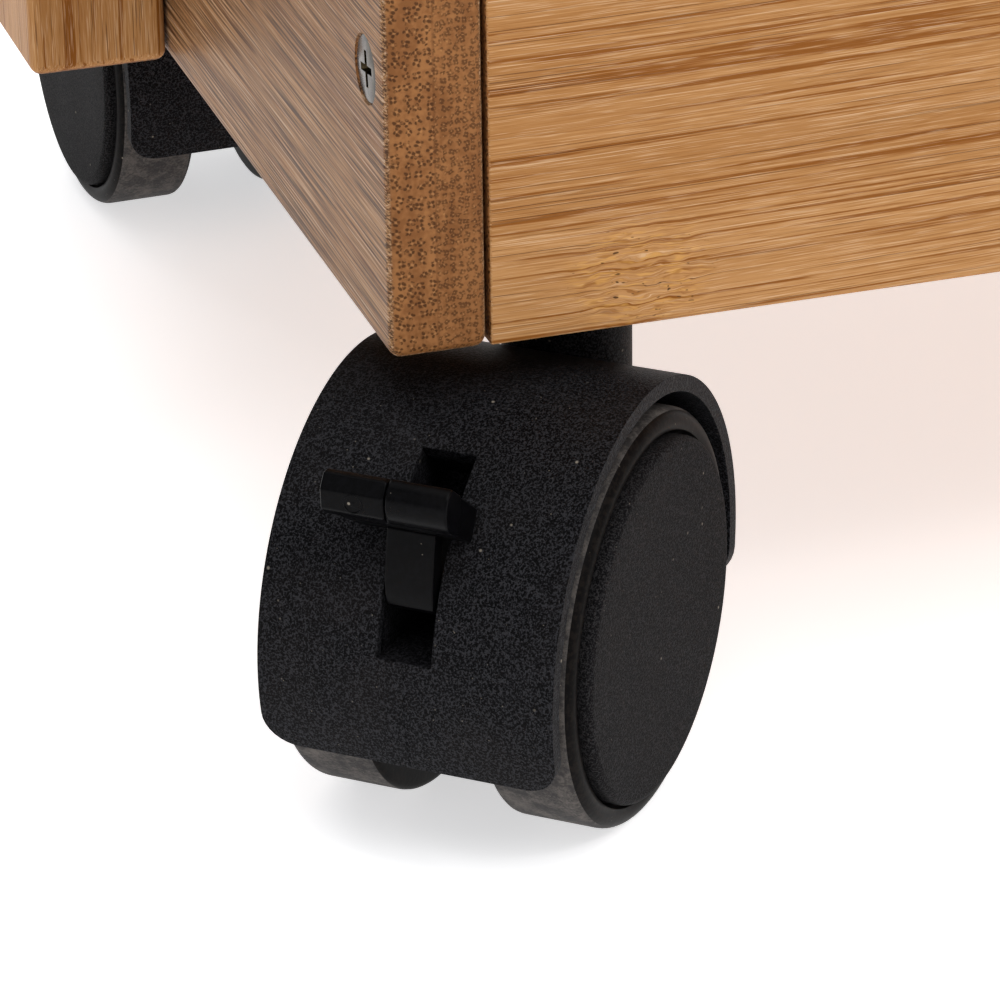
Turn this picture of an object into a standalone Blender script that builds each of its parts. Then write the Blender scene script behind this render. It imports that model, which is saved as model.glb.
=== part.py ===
"""A slim bamboo rolling cart: three box trays between two uprights, on four twin-wheel casters.

+X runs along the cart, +Y from its front to its back and +Z up. The origin is on the floor under
the middle of the cart. All sizes are in metres.
"""
import math

import bmesh
import bpy
from mathutils import Matrix, Vector

# Clearances
GAP = 0.0003                    # between pieces that touch
CORNER_GAP = 0.0004             # between a long board's end and the board that covers it
RUNNING_GAP = 0.0003            # round a pin, an axle or a stem that something turns on
WELL_CLEARANCE = 0.00185        # from a tread to the inside of its hood
SLOT_CLEARANCE = 0.00035        # each side of the brake lever in its slot
EDGE_MARGIN = 0.002             # how far a cutter runs past the face that it opens

# Trays
CART_LENGTH = 0.440             # over the end boards
CART_DEPTH = 0.244              # along an end board
BOARD_THICKNESS = 0.0115
BOARD_HEIGHT = 0.065
LONG_BOARD_SETBACK = 0.0005     # of a long board from the ends of the end boards
TRAY_PITCH = 0.265
FLOOR_THICKNESS = 0.005
FLOOR_EDGE = 0.004              # thickness of a floor's edges, in the boards' grooves
GROOVE_DEPTH = 0.004
UPPER_FLOOR_LIFT = 0.008        # of an upper tray's floor over the lower edges of its boards
END_BOARD_ROUNDING = 0.0016
LONG_BOARD_ROUNDING = 0.0005

# Uprights and handle
UPRIGHT_WIDTH = 0.044
UPRIGHT_THICKNESS = 0.018
UPRIGHT_TOP_RADIUS = 0.016
UPRIGHT_ROUNDING = 0.0016
HANDLE_RADIUS = 0.011
HANDLE_DROP = 0.022             # of the handle's middle below the uprights' tops
HAND_ROOM = 0.072               # from the upper tray's rim to the handle

# Caster rails under the lowest floor
RAIL_WIDTH = 0.0185
RAIL_HEIGHT = 0.022
STEM_FROM_RAIL_END = 0.0161

# Casters
WHEEL_RADIUS = 0.025
TREAD_THICKNESS = 0.0028
TREAD_WIDTH = 0.0116
TREAD_SHOULDER = 0.0007
WHEEL_WIDTH = 0.0138
WHEEL_DISC = 0.0028             # thickness of a wheel's outer disc
WHEEL_RIM = 0.0034              # thickness of a wheel's rim under its tread
HUB_RADIUS = 0.0065
CAP_PROUD = 0.0013              # of a wheel's disc over the side of its tread
WEB_THICKNESS = 0.012           # of the hood between the wheels
HOOD_WALL = 0.002
HOOD_SETBACK = 0.0005           # of the hood's rims from the sides of the treads
HOOD_FRONT_ANGLE = -19.5        # where the hood's wall starts, seen along the axle
HOOD_REAR_ANGLE = 196.0
HOOD_TO_DECK = 0.00595          # from a hood's top to the boards
TRAIL = 0.020                   # from the swivel axis to the axle
AXLE_RADIUS = 0.003
NECK_RADIUS = 0.0078
STEM_RADIUS = 0.004
STEM_DEPTH = 0.024              # of the stem in the hood's neck
STEM_IN_RAIL = 0.018
COLLAR_HEIGHT = 0.0022

# Brake levers, in the side of the hood that is away from the stem
LEVER_WIDTH = 0.0060
LEVER_BAR_WIDTH = 0.0155
LEVER_BAR_OFFSET = -0.00145     # of the bar's middle from the tongue's
LEVER_PLATE_WIDTH = 0.0140
LEVER_PLATE_OFFSET = -0.0008
LEVER_PIVOT_DEPTH = 0.00925     # of the pivot inside the hood's outer surface
LEVER_PIVOT_ANGLE = 37.7        # of the pivot over the axle
LEVER_PIN_RADIUS = 0.00125
SLOT_BELOW_PIVOT = 0.0075
SLOT_ABOVE_PIVOT = 0.0129
SLOT_BEHIND_PIVOT = 0.0060

# Screws
SCREW_HEAD_RADIUS = 0.004
SCREW_HEAD_DEPTH = 0.0024
SCREW_SHANK_RADIUS = 0.002
SCREW_LENGTH = 0.035
CORNER_SCREW_OFFSET = 0.0015    # inward from the middle of a long board's thickness
CORNER_SCREW_LIFT = 0.005       # over the lower tray's floor

ROUND_STEPS = 28
WHEEL_STEPS = 20
SMALL_STEPS = 14
HOOD_STEPS = 32

# Worked out from the sizes above
HOOD_RADIUS = WHEEL_RADIUS + WELL_CLEARANCE + HOOD_WALL
DECK = WHEEL_RADIUS + HOOD_RADIUS + HOOD_TO_DECK
WHEEL_INNER = WEB_THICKNESS / 2 + RUNNING_GAP
WHEEL_OUTER = WHEEL_INNER + WHEEL_WIDTH
TREAD_OUTER = WHEEL_OUTER - CAP_PROUD
CORE_RADIUS = WHEEL_RADIUS - TREAD_THICKNESS - GAP
HOOD_HALF_WIDTH = TREAD_OUTER - HOOD_SETBACK
PIVOT_RADIUS = HOOD_RADIUS - LEVER_PIVOT_DEPTH
PIVOT_FORWARD = PIVOT_RADIUS * math.cos(math.radians(LEVER_PIVOT_ANGLE))
PIVOT_UP = PIVOT_RADIUS * math.sin(math.radians(LEVER_PIVOT_ANGLE))
NECK_TOP = DECK - 2 * GAP - COLLAR_HEIGHT
LONG_BOARD_LENGTH = CART_LENGTH - 2 * BOARD_THICKNESS - 2 * CORNER_GAP
LONG_BOARD_MIDDLE = CART_DEPTH / 2 - LONG_BOARD_SETBACK - BOARD_THICKNESS / 2
INSIDE_DEPTH = 2 * LONG_BOARD_MIDDLE - BOARD_THICKNESS
INSIDE_LENGTH = CART_LENGTH - 2 * BOARD_THICKNESS
RAIL_LENGTH = INSIDE_LENGTH - 2 * GAP
RAIL_MIDDLE = INSIDE_DEPTH / 2 - GAP - RAIL_WIDTH / 2
SWIVEL_X = RAIL_LENGTH / 2 - STEM_FROM_RAIL_END
SWIVEL_Y = RAIL_MIDDLE
LOWEST_FLOOR_LIFT = RAIL_HEIGHT + GAP
UPRIGHT_MIDDLE = CART_LENGTH / 2 + GAP + UPRIGHT_THICKNESS / 2
UPPER_RIM = DECK + 2 * TRAY_PITCH + BOARD_HEIGHT
HANDLE_HEIGHT = UPPER_RIM + HAND_ROOM + HANDLE_RADIUS
UPRIGHT_TOP = HANDLE_HEIGHT + HANDLE_DROP
HANDLE_LENGTH = 2 * (UPRIGHT_MIDDLE - UPRIGHT_THICKNESS / 2 - GAP)

TRAYS = {
    "lower": (DECK, LOWEST_FLOOR_LIFT),
    "middle": (DECK + TRAY_PITCH, UPPER_FLOOR_LIFT),
    "upper": (DECK + 2 * TRAY_PITCH, UPPER_FLOOR_LIFT),
}
# each caster's side of the cart, the way that its hood points, in degrees, and whether it locks
CASTERS = {
    "front_left": (-1, -1, -130.9, True),
    "back_left": (-1, 1, -88.0, False),
    "back_right": (1, 1, 49.1, True),
    "front_right": (1, -1, 86.4, False),
}

FINISHES = {
    "bamboo": ((0.42, 0.22, 0.08), 0.45, 0.0),
    "bamboo_floor": ((0.46, 0.26, 0.11), 0.5, 0.0),
    "black_plastic": ((0.012, 0.012, 0.012), 0.5, 0.0),
    "wheel_plastic": ((0.022, 0.022, 0.022), 0.45, 0.0),
    "tread_rubber": ((0.06, 0.058, 0.056), 0.75, 0.0),
    "steel": ((0.55, 0.53, 0.5), 0.3, 1.0),
}


def clear_scene():
    for old in list(bpy.data.objects):
        bpy.data.objects.remove(old, do_unlink=True)


def new_collection(name):
    collection = bpy.data.collections.new(name)
    bpy.context.scene.collection.children.link(collection)
    return collection


def add_object(name, mesh, finish=None, parent=None):
    """An object in the cart's collection with its own material, or a cutter if it has no finish."""
    obj = bpy.data.objects.new(name, mesh)
    if finish:
        color, roughness, metallic = FINISHES[finish]
        material = bpy.data.materials.new(name + "_" + finish)
        material.use_nodes = True
        shader = material.node_tree.nodes["Principled BSDF"]
        shader.inputs["Base Color"].default_value = (*color, 1.0)
        shader.inputs["Roughness"].default_value = roughness
        shader.inputs["Metallic"].default_value = metallic
        mesh.materials.append(material)
        parts.objects.link(obj)
    else:
        obj.hide_render = True
        obj.display_type = "WIRE"
        cutters.objects.link(obj)
    obj.parent = parent
    return obj


def mesh_from(name, build):
    """A mesh that build(bm) has filled."""
    bm = bmesh.new()
    build(bm)
    mesh = bpy.data.meshes.new(name)
    bm.to_mesh(mesh)
    bm.free()
    return mesh


def box(name, size, middle, finish=None, parent=None):
    scale = Matrix.Diagonal((*size, 1.0))
    mesh = mesh_from(name, lambda bm: bmesh.ops.create_cube(bm, size=1.0, matrix=scale))
    obj = add_object(name, mesh, finish, parent)
    obj.location = middle
    return obj


def rod(name, radius, length, middle, axis, finish=None, parent=None, steps=SMALL_STEPS):
    """A cylinder about an axis through its middle, with a facet facing square to the axis."""
    turn = Vector((0, 0, 1)).rotation_difference(Vector(axis)).to_matrix().to_4x4()
    half_step = Matrix.Rotation(math.pi / steps, 4, "Z")
    mesh = mesh_from(
        name,
        lambda bm: bmesh.ops.create_cone(
            bm, cap_ends=True, segments=steps, radius1=radius, radius2=radius, depth=length,
            matrix=half_step,
        ),
    )
    mesh.shade_smooth()
    mesh.set_sharp_from_angle(angle=math.radians(40))
    obj = add_object(name, mesh, finish, parent)
    obj.matrix_local = Matrix.Translation(middle) @ turn
    return obj


def turned(name, profile, steps, finish=None, parent=None, closed=False):
    """A profile of (radius, height) points, down its outer side, turned about Z."""
    mesh = bpy.data.meshes.new(name)
    points = [(radius, 0.0, height) for radius, height in profile]
    edges = [(i, i + 1) for i in range(len(points) - 1)]
    if closed:
        edges.append((len(points) - 1, 0))
    mesh.from_pydata(points, edges, [])
    obj = add_object(name, mesh, finish, parent)
    screw = obj.modifiers.new("turn", "SCREW")
    screw.axis = "Z"
    screw.steps = steps
    screw.render_steps = steps
    screw.use_merge_vertices = True
    screw.merge_threshold = 0.00001
    screw.use_smooth_shade = True
    return obj


def plate(name, outline, thickness, finish=None, parent=None):
    """A flat outline in X and Y, as a solid of a thickness centred on it."""
    curve = bpy.data.curves.new(name + "_outline", "CURVE")
    curve.dimensions = "2D"
    curve.fill_mode = "BOTH"
    curve.extrude = thickness / 2
    spline = curve.splines.new("POLY")
    spline.points.add(len(outline) - 1)
    for point, (x, y) in zip(spline.points, outline):
        point.co = (x, y, 0.0, 1.0)
    spline.use_cyclic_u = True
    guide = bpy.data.objects.new(name + "_outline", curve)
    parts.objects.link(guide)
    bpy.context.view_layer.update()
    solid = guide.evaluated_get(bpy.context.evaluated_depsgraph_get())
    mesh = bpy.data.meshes.new_from_object(solid)
    mesh.name = name
    bpy.data.objects.remove(guide, do_unlink=True)
    bm = bmesh.new()
    bm.from_mesh(mesh)
    bmesh.ops.remove_doubles(bm, verts=bm.verts, dist=0.00001)
    bmesh.ops.recalc_face_normals(bm, faces=bm.faces)
    bm.to_mesh(mesh)
    bm.free()
    return add_object(name, mesh, finish, parent)


def round_edges(obj, width, segments=2):
    bevel = obj.modifiers.new("rounding", "BEVEL")
    bevel.width = width
    bevel.segments = segments
    bevel.limit_method = "ANGLE"


def boolean(obj, other, operation):
    modifier = obj.modifiers.new(operation.lower(), "BOOLEAN")
    modifier.operation = operation
    modifier.solver = "EXACT"
    modifier.object = other


def cut(obj, cutter):
    boolean(obj, cutter, "DIFFERENCE")


def join(obj, other):
    boolean(obj, other, "UNION")


def arc(middle, radius, start, end, steps):
    """Points round part of a circle, from one angle in degrees to another."""
    turns = [math.radians(start + (end - start) * i / steps) for i in range(steps + 1)]
    return [(middle[0] + radius * math.cos(a), middle[1] + radius * math.sin(a)) for a in turns]


def screw_profile(clearance):
    """A countersunk screw from its head, at height 0, to its tip. With a clearance, its hole."""
    over = EDGE_MARGIN if clearance else 0.0
    head = SCREW_HEAD_RADIUS + clearance
    shank = SCREW_SHANK_RADIUS + clearance
    tip = SCREW_LENGTH + clearance
    return [
        (0.0, over),
        (head, over),
        (head, -0.0004),
        (shank, -0.0004 - SCREW_HEAD_DEPTH),
        (shank, -tip + 2 * SCREW_SHANK_RADIUS),
        (0.0005 + clearance, -tip),
        (0.0, -tip),
    ]


def add_screw(name, head, out, holes_in):
    """A screw whose head is flush at a point, facing out, with its hole in what it goes through."""
    turn = Vector((0, 0, 1)).rotation_difference(Vector(out)).to_matrix().to_4x4()
    screw = turned(name, screw_profile(0.0), SMALL_STEPS, "steel")
    screw.matrix_local = Matrix.Translation(Vector(head) - Vector(out) * GAP) @ turn
    hole = turned(name + "_hole", screw_profile(GAP), SMALL_STEPS)
    hole.matrix_local = Matrix.Translation(Vector(head) - Vector(out) * GAP) @ turn
    for obj in holes_in:
        cut(obj, hole)


def fill_floor(bm):
    """A floor about the middle of its thinner edges, with its top raised between the boards."""
    reach = 2 * GROOVE_DEPTH
    size = (INSIDE_LENGTH + reach, INSIDE_DEPTH + reach, FLOOR_EDGE)
    bmesh.ops.create_cube(bm, size=1.0, matrix=Matrix.Diagonal((*size, 1.0)))
    top = max(bm.faces, key=lambda face: face.calc_center_median().z)
    inset = GROOVE_DEPTH + GAP
    bmesh.ops.inset_individual(bm, faces=[top], thickness=inset, use_even_offset=True)
    raised = bmesh.ops.extrude_discrete_faces(bm, faces=[top])["faces"][0]
    bmesh.ops.translate(bm, vec=(0, 0, FLOOR_THICKNESS - FLOOR_EDGE), verts=raised.verts)


def add_tray(name, bottom, floor_lift):
    """Two end boards that cover the ends of two long boards, and a floor let into all four."""
    middle_height = bottom + BOARD_HEIGHT / 2
    edge_middle = bottom + floor_lift + GAP + FLOOR_EDGE / 2
    room = 2 * (GROOVE_DEPTH + GAP)
    groove = box(
        name + "_floor_groove",
        (INSIDE_LENGTH + room, INSIDE_DEPTH + room, FLOOR_EDGE + 2 * GAP),
        (0, 0, edge_middle),
    )
    boards = {}
    for side, place in (("left", -1), ("right", 1)):
        board = box(
            f"{name}_tray_{side}_board",
            (BOARD_THICKNESS, CART_DEPTH, BOARD_HEIGHT),
            (place * (CART_LENGTH - BOARD_THICKNESS) / 2, 0, middle_height),
            "bamboo",
        )
        round_edges(board, END_BOARD_ROUNDING)
        boards[side] = board
    for side, place in (("front", -1), ("back", 1)):
        board = box(
            f"{name}_tray_{side}_board",
            (LONG_BOARD_LENGTH, BOARD_THICKNESS, BOARD_HEIGHT),
            (0, place * LONG_BOARD_MIDDLE, middle_height),
            "bamboo",
        )
        round_edges(board, LONG_BOARD_ROUNDING, 1)
        boards[side] = board
    for board in boards.values():
        cut(board, groove)
    floor_name = name + "_tray_floor"
    floor = add_object(floor_name, mesh_from(floor_name, fill_floor), "bamboo_floor")
    floor.location = (0, 0, edge_middle)
    return boards


def add_uprights():
    """A flat upright outside the middle of each end, with rounded top corners."""
    half = UPRIGHT_WIDTH / 2
    corner = half - UPRIGHT_TOP_RADIUS
    top = UPRIGHT_TOP - UPRIGHT_TOP_RADIUS
    outline = [(half, DECK)]
    outline += arc((corner, top), UPRIGHT_TOP_RADIUS, 0, 90, 6)
    outline += arc((-corner, top), UPRIGHT_TOP_RADIUS, 90, 180, 6)
    outline.append((-half, DECK))
    upright_plane = Matrix(((0, 0, 1, 0), (1, 0, 0, 0), (0, 1, 0, 0), (0, 0, 0, 1)))
    uprights = {}
    for side, place in (("left", -1), ("right", 1)):
        upright = plate(side + "_upright", outline, UPRIGHT_THICKNESS, "bamboo")
        upright.matrix_local = Matrix.Translation((place * UPRIGHT_MIDDLE, 0, 0)) @ upright_plane
        round_edges(upright, UPRIGHT_ROUNDING)
        uprights[side] = upright
    return uprights


def add_handle(uprights):
    """A round bar between the uprights' tops, with a screw through each upright into its end."""
    handle = rod(
        "handle_bar", HANDLE_RADIUS, HANDLE_LENGTH, (0, 0, HANDLE_HEIGHT), (1, 0, 0), "bamboo",
        steps=WHEEL_STEPS,
    )
    outer_face = UPRIGHT_MIDDLE + UPRIGHT_THICKNESS / 2
    for side, place in (("left", -1), ("right", 1)):
        head = (place * outer_face, 0, HANDLE_HEIGHT)
        add_screw(f"handle_screw_{side}", head, (place, 0, 0), (uprights[side], handle))


def add_rails():
    """The rails under the lowest floor that the casters' stems go up into."""
    rails = {}
    for side, place in (("front", -1), ("back", 1)):
        rails[side] = box(
            side + "_caster_rail",
            (RAIL_LENGTH, RAIL_WIDTH, RAIL_HEIGHT),
            (0, place * RAIL_MIDDLE, DECK + RAIL_HEIGHT / 2),
            "bamboo",
        )
        round_edges(rails[side], LONG_BOARD_ROUNDING, 1)
    return rails


def stem_profile(clearance):
    """A caster's stem with its collar, by height over the floor. With a clearance, its hole."""
    radius = STEM_RADIUS + clearance
    top = DECK + STEM_IN_RAIL
    bottom = NECK_TOP - STEM_DEPTH
    return [
        (0.0, top + clearance),
        (radius, top + clearance),
        (radius, DECK - GAP),
        (NECK_RADIUS, DECK - GAP),
        (NECK_RADIUS, DECK - GAP - COLLAR_HEIGHT),
        (radius, DECK - GAP - COLLAR_HEIGHT),
        (radius, bottom - clearance),
        (0.0, bottom - clearance),
    ]


def wheel_profile():
    """A wheel's outer disc, rim and hub, by distance from the caster's middle plane."""
    bore = AXLE_RADIUS + RUNNING_GAP
    disc_inner = WHEEL_OUTER - WHEEL_DISC
    bore_end = disc_inner + GAP
    rim_inner = CORE_RADIUS - WHEEL_RIM
    rim_edge = TREAD_OUTER - TREAD_WIDTH
    return [
        (0.0, WHEEL_OUTER),
        (CORE_RADIUS - 0.0008, WHEEL_OUTER),
        (CORE_RADIUS, WHEEL_OUTER - 0.0008),
        (CORE_RADIUS, rim_edge),
        (rim_inner, rim_edge),
        (rim_inner, disc_inner),
        (HUB_RADIUS, disc_inner),
        (HUB_RADIUS, WHEEL_INNER),
        (bore, WHEEL_INNER),
        (bore, bore_end),
        (0.0, bore_end),
    ]


def tread_profile():
    """A tread's ring, with its facets' middles at the wheel's radius so that one lies flat."""
    outer = WHEEL_RADIUS / math.cos(math.pi / ROUND_STEPS)
    inner = WHEEL_RADIUS - TREAD_THICKNESS
    inner_edge = TREAD_OUTER - TREAD_WIDTH
    return [
        (inner, TREAD_OUTER),
        (outer - TREAD_SHOULDER, TREAD_OUTER),
        (outer, TREAD_OUTER - TREAD_SHOULDER),
        (outer, inner_edge + TREAD_SHOULDER),
        (outer - TREAD_SHOULDER, inner_edge),
        (inner, inner_edge),
    ]


def add_hood(name, caster, locks):
    """The hood over the wheels, with the web between them that holds the axle and the neck."""
    front = math.radians(HOOD_FRONT_ANGLE)
    rear = math.radians(HOOD_REAR_ANGLE)
    axle = Vector((TRAIL, 0, WHEEL_RADIUS))
    hood = rod(
        name + "_hood", HOOD_RADIUS, 2 * HOOD_HALF_WIDTH, axle, (0, 1, 0), "black_plastic", caster,
        HOOD_STEPS,
    )
    neck_height = NECK_TOP - WHEEL_RADIUS
    neck = rod(
        name + "_neck", NECK_RADIUS, neck_height, (0, 0, WHEEL_RADIUS + neck_height / 2),
        (0, 0, 1), None, caster, WHEEL_STEPS,
    )
    join(hood, neck)
    well_width = 2 * HOOD_HALF_WIDTH
    for side in (-1, 1):
        well = rod(
            f"{name}_well_{side + 2}", WHEEL_RADIUS + WELL_CLEARANCE, well_width,
            axle + Vector((0, side * (WEB_THICKNESS / 2 + well_width / 2), 0)), (0, 1, 0),
            None, caster, HOOD_STEPS,
        )
        cut(hood, well)
    edge_front = Vector((math.cos(front), 0, math.sin(front))) * HOOD_RADIUS
    edge_rear = Vector((math.cos(rear), 0, math.sin(rear))) * HOOD_RADIUS
    slope = math.atan2(edge_rear.z - edge_front.z, edge_front.x - edge_rear.x)
    below = box(
        name + "_below", (3 * HOOD_RADIUS, 4 * HOOD_HALF_WIDTH, HOOD_RADIUS),
        (0, 0, 0), None, caster,
    )
    middle = axle + (edge_front + edge_rear) / 2
    down = Matrix.Translation((0, 0, -HOOD_RADIUS / 2))
    below.matrix_local = Matrix.Translation(middle) @ Matrix.Rotation(slope, 4, "Y") @ down
    cut(hood, below)
    stem_hole_depth = STEM_DEPTH + RUNNING_GAP + EDGE_MARGIN
    stem_hole = rod(
        name + "_stem_hole", STEM_RADIUS + RUNNING_GAP, stem_hole_depth,
        (0, 0, NECK_TOP + EDGE_MARGIN - stem_hole_depth / 2), (0, 0, 1), None, caster,
    )
    cut(hood, stem_hole)
    axle_hole = rod(
        name + "_axle_hole", AXLE_RADIUS + RUNNING_GAP, 2 * WEB_THICKNESS, axle, (0, 1, 0),
        None, caster,
    )
    cut(hood, axle_hole)
    if locks:
        cut_lever_slot(name, hood, caster)
    return hood


def lever_pivot():
    """The middle of a brake lever's pin, from the foot of the swivel axis."""
    return Vector((TRAIL + PIVOT_FORWARD, 0, WHEEL_RADIUS + PIVOT_UP))


def cut_lever_slot(name, hood, caster):
    """The slot that the brake lever stands in, and the holes for its pin."""
    inner = PIVOT_FORWARD - SLOT_BEHIND_PIVOT
    floor = PIVOT_UP - SLOT_BELOW_PIVOT
    top = PIVOT_UP + SLOT_ABOVE_PIVOT
    far = HOOD_RADIUS + EDGE_MARGIN
    front_of_top = math.sqrt(HOOD_RADIUS**2 - top**2)
    outline = [
        (inner, floor),
        (far, floor),
        (far, far),
        (front_of_top, far),
        (front_of_top, top),
        (inner, top - (front_of_top - inner)),
    ]
    slot = plate(name + "_slot", outline, LEVER_WIDTH + 2 * SLOT_CLEARANCE, None, caster)
    stand_up = Matrix.Rotation(math.pi / 2, 4, "X")
    slot.matrix_local = Matrix.Translation((TRAIL, 0, WHEEL_RADIUS)) @ stand_up
    cut(hood, slot)
    pin_hole = rod(
        name + "_pin_hole", LEVER_PIN_RADIUS + RUNNING_GAP, 2 * WEB_THICKNESS,
        lever_pivot(), (0, 1, 0), None, caster,
    )
    cut(hood, pin_hole)


def add_lever(name, caster):
    """A brake lever: a finger bar on a plate, and a tongue that turns in through the slot."""
    pivot = lever_pivot()
    barrel = 0.0032
    tongue = [(0.0, -barrel), (0.0075, -0.0028), (0.0100, -0.0022), (0.0112, -0.0006)]
    tongue += [(0.0113, 0.0015), (0.0109, 0.0040), (0.0102, 0.0080), (0.0077, 0.0080)]
    tongue += [(0.0083, 0.0050), (0.0085, 0.0018), (0.0074, 0.0006), (0.0025, 0.0022)]
    tongue += arc((0, 0), barrel, 75, 200, 5)
    tongue += [(-0.0030, -0.0056), (-0.0010, -0.0058)]
    stand_up = Matrix.Rotation(math.pi / 2, 4, "X")
    lever = plate(name + "_brake_lever", tongue, LEVER_WIDTH, "black_plastic", caster)
    lever.matrix_local = Matrix.Translation(pivot) @ stand_up
    plate_outline = [(0.0074, 0.0062), (0.0126, 0.0095), (0.0134, 0.0115), (0.0126, 0.0140)]
    plate_outline += [(0.0117, 0.0145), (0.0054, 0.0096)]
    bar_outline = [(0.0107, 0.0089), (0.0135, 0.0101), (0.0144, 0.0110), (0.0145, 0.0134)]
    bar_outline += [(0.0137, 0.0149), (0.0124, 0.0153), (0.0101, 0.0134)]
    for part, outline, width, offset in (
        ("plate", plate_outline, LEVER_PLATE_WIDTH, LEVER_PLATE_OFFSET),
        ("bar", bar_outline, LEVER_BAR_WIDTH, LEVER_BAR_OFFSET),
    ):
        piece = plate(f"{name}_lever_{part}", outline, width, None, caster)
        piece.matrix_local = Matrix.Translation(pivot + Vector((0, offset, 0))) @ stand_up
        join(lever, piece)
    bore = rod(
        name + "_lever_bore", LEVER_PIN_RADIUS + RUNNING_GAP, 2 * LEVER_WIDTH, pivot, (0, 1, 0),
        None, caster,
    )
    cut(lever, bore)
    rod(
        name + "_brake_pin", LEVER_PIN_RADIUS, WEB_THICKNESS - 2 * GAP, pivot, (0, 1, 0), "steel",
        caster,
    )


def add_wheels(name, caster):
    """Two wheels with their treads on one axle. Each wheel's disc faces away from the web."""
    axle = Vector((TRAIL, 0, WHEEL_RADIUS))
    axle_half = WHEEL_OUTER - WHEEL_DISC
    rod(name + "_axle", AXLE_RADIUS, 2 * axle_half - 2 * GAP, axle, (0, 1, 0), "steel", caster)
    # the half step lays one facet of the tread flat on the floor
    half_step = Matrix.Rotation(math.pi / ROUND_STEPS, 4, "Z")
    for number, side in ((1, -1), (2, 1)):
        face_out = Matrix.Rotation(-side * math.pi / 2, 4, "X")
        wheel = turned(f"{name}_wheel_{number}", wheel_profile(), WHEEL_STEPS, "wheel_plastic", caster)
        wheel.matrix_local = Matrix.Translation(axle) @ face_out
        tread = turned(
            f"{name}_tread_{number}", tread_profile(), ROUND_STEPS, "tread_rubber", caster, True
        )
        tread.matrix_local = Matrix.Translation(axle) @ face_out @ half_step


def add_caster(name, side_x, side_y, heading, locks, rail):
    """A caster on an empty that stands on its swivel axis and points the way the hood does."""
    caster = bpy.data.objects.new(name + "_caster", None)
    parts.objects.link(caster)
    caster.location = (side_x * SWIVEL_X, side_y * SWIVEL_Y, 0)
    caster.rotation_euler = (0, 0, math.radians(heading))
    stem = turned(name + "_caster_stem", stem_profile(0.0), SMALL_STEPS, "steel")
    stem.location = (side_x * SWIVEL_X, side_y * SWIVEL_Y, 0)
    hole_depth = STEM_IN_RAIL + GAP + EDGE_MARGIN
    hole = rod(
        name + "_rail_hole", STEM_RADIUS + GAP, hole_depth,
        (side_x * SWIVEL_X, side_y * SWIVEL_Y, DECK - EDGE_MARGIN + hole_depth / 2), (0, 0, 1),
    )
    cut(rail, hole)
    add_hood(name + "_caster", caster, locks)
    if locks:
        add_lever(name, caster)
    add_wheels(name, caster)


def build():
    lower_boards = None
    for name, (bottom, floor_lift) in TRAYS.items():
        boards = add_tray(name, bottom, floor_lift)
        lower_boards = lower_boards or boards
    screw_height = DECK + LOWEST_FLOOR_LIFT + GAP + FLOOR_THICKNESS + CORNER_SCREW_LIFT
    for side, place in (("left", -1), ("right", 1)):
        for end, along in (("front", -1), ("back", 1)):
            head = (
                place * CART_LENGTH / 2,
                along * (LONG_BOARD_MIDDLE - CORNER_SCREW_OFFSET),
                screw_height,
            )
            add_screw(
                f"corner_screw_{end}_{side}", head, (place, 0, 0),
                (lower_boards[side], lower_boards[end]),
            )
    add_handle(add_uprights())
    rails = add_rails()
    for name, (side_x, side_y, heading, locks) in CASTERS.items():
        rail = rails["front" if side_y < 0 else "back"]
        add_caster(name, side_x, side_y, heading, locks, rail)
    bpy.context.view_layer.update()


clear_scene()
parts = new_collection("rolling_utility_cart")
cutters = new_collection("cutters")
build()
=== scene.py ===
import math

import bmesh
import bpy
from mathutils import Matrix, Vector


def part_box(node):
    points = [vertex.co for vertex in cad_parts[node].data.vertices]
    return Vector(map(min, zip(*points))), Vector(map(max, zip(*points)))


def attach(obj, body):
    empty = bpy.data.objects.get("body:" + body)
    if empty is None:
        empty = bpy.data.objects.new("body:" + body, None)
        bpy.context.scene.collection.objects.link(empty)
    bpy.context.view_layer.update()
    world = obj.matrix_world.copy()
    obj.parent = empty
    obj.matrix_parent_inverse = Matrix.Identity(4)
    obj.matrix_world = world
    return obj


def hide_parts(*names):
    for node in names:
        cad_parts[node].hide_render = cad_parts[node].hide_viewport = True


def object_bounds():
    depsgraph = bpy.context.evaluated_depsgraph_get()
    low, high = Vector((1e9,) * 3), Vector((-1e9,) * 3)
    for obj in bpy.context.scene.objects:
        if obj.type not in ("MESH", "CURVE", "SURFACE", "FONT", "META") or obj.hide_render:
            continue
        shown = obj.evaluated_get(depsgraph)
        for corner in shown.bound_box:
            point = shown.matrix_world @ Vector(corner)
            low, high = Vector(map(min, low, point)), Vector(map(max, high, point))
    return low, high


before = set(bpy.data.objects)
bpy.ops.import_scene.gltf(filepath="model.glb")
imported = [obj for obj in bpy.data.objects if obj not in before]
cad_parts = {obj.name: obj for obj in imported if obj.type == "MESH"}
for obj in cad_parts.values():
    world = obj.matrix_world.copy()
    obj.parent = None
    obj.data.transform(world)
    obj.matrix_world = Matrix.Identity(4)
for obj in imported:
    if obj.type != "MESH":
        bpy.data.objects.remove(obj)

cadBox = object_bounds()
mm = 0.001


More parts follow.
